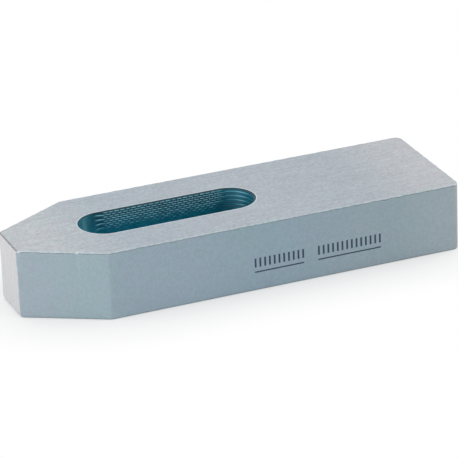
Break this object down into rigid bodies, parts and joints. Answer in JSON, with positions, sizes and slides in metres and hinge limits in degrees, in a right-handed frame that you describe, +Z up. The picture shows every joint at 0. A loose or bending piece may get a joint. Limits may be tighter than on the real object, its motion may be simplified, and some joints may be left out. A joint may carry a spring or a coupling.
{
  "type": "slotted clamp bar",
  "caption": "Flat steel clamp bar with a tapered nose and a long through slot for a stud; bridges from a heel support to the work and presses it down.",
  "frame": {"origin": "underside of the bar, in the middle of its length and width", "axes": "+X along the bar from the nose to the heel, +Y across it, +Z up out of the nut's seat"},
  "size_m": [0.16, 0.05, 0.025],
  "materials": {
    "lacquered_steel": "satin, fine-grained metallic grey-blue lacquer",
    "marking_ink": "flat dark ink"
  },
  "bodies": {
    "root": {"clamp_bar": "lacquered_steel"}
  },
  "joints": []
}
